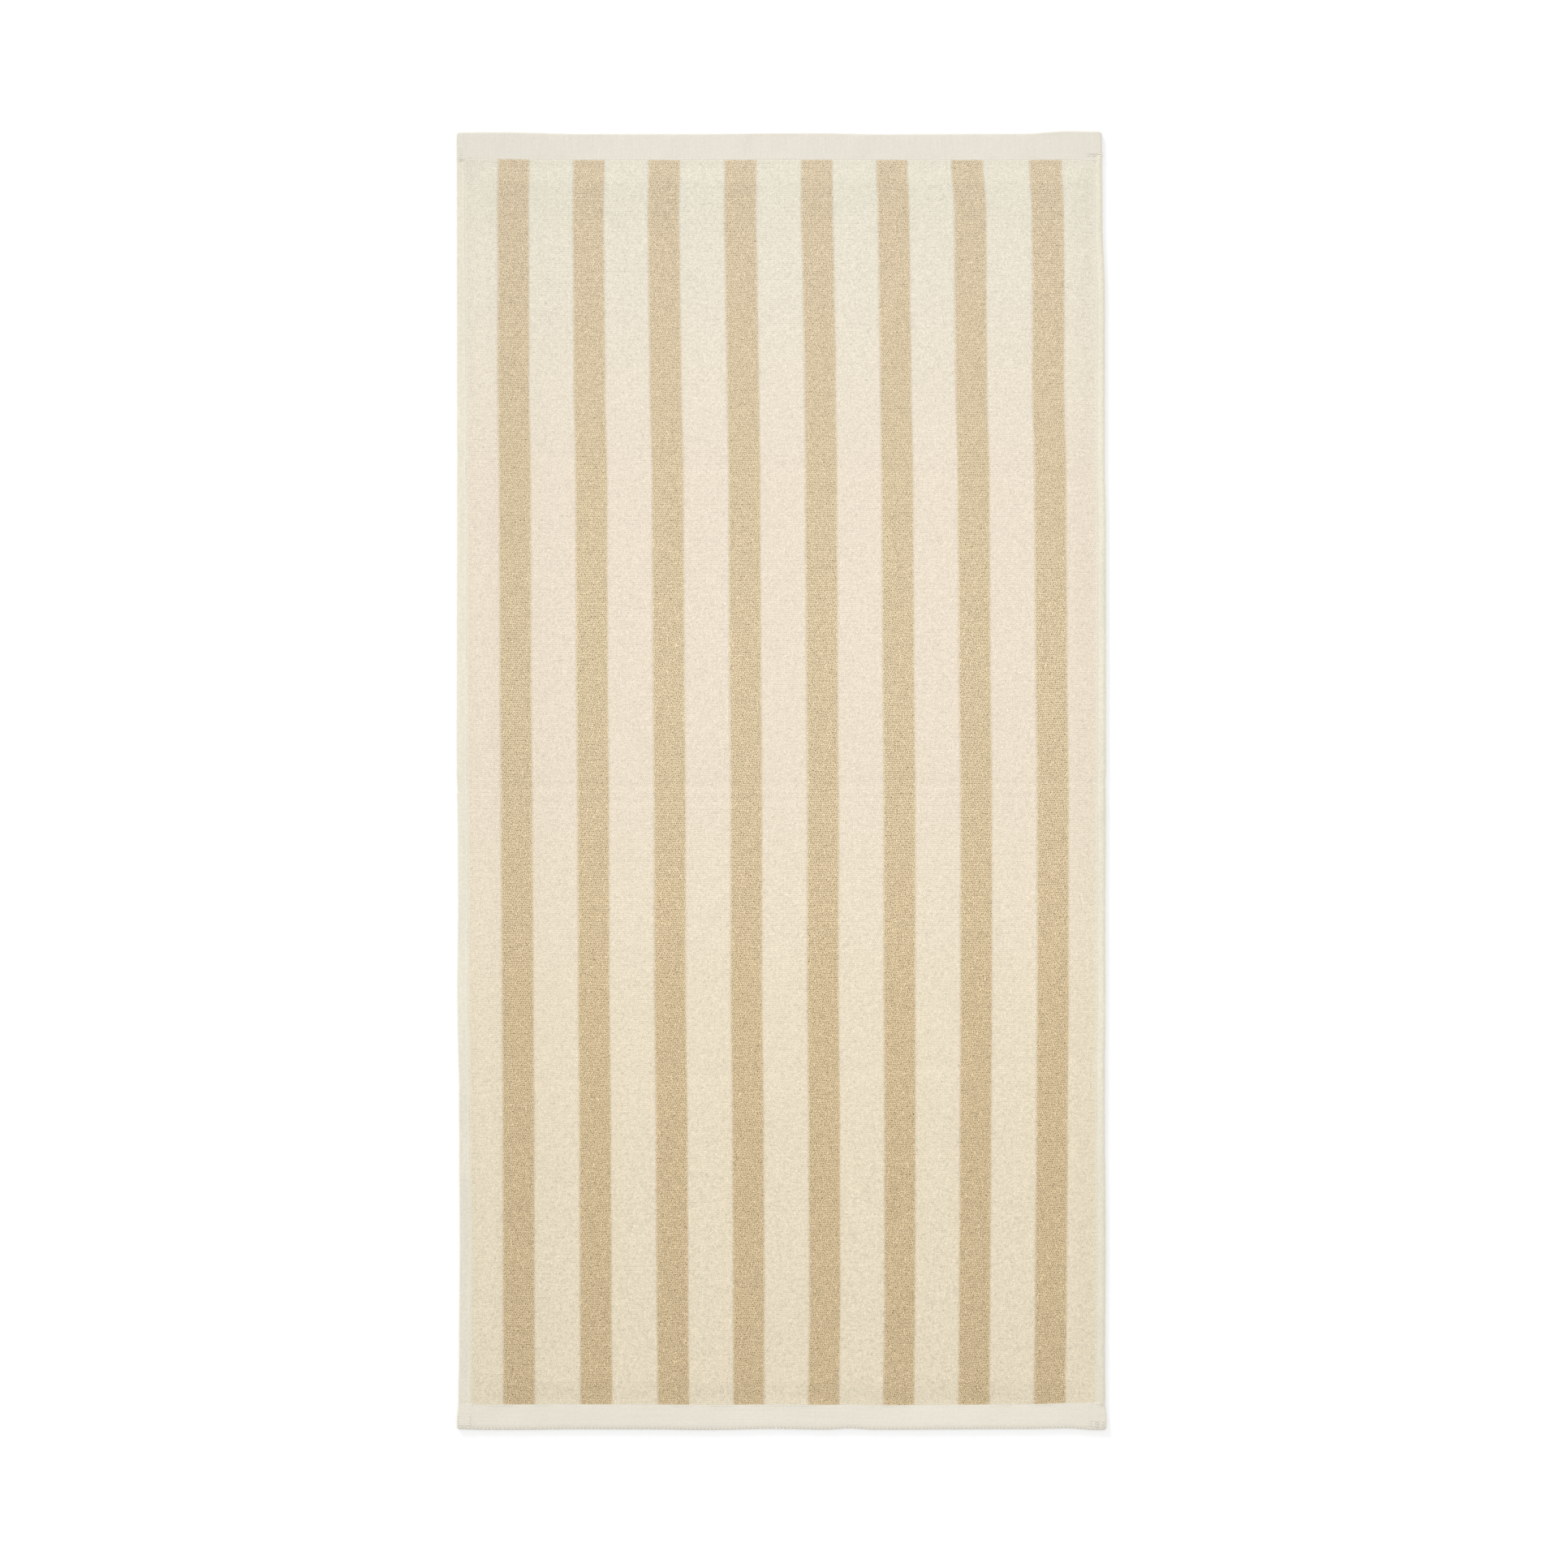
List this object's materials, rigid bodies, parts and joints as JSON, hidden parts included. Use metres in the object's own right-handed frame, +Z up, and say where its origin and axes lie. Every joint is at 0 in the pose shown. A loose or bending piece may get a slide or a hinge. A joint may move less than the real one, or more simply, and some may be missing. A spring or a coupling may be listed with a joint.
{
  "type": "hand towel",
  "caption": "Cream terry hand towel with beige lengthwise stripes, flat-woven end hems and narrow stitched side hems, lying flat.",
  "frame": {"origin": "the middle of the towel's box, on the flat underside that rests on the surface", "axes": "+X across the towel to the picture's right, +Y along it towards the picture's top end, +Z up from the surface through the pile"},
  "size_m": [0.5005, 1.0008, 0.0046],
  "materials": {
    "cream_terry": "soft looped cotton pile, matt",
    "beige_terry": "soft looped cotton pile, matt, in the stripes",
    "hem_cloth": "flat-woven cotton, matt, with sewing thread of the same colour"
  },
  "bodies": {
    "root": {"towel": "cream_terry"}
  },
  "joints": []
}
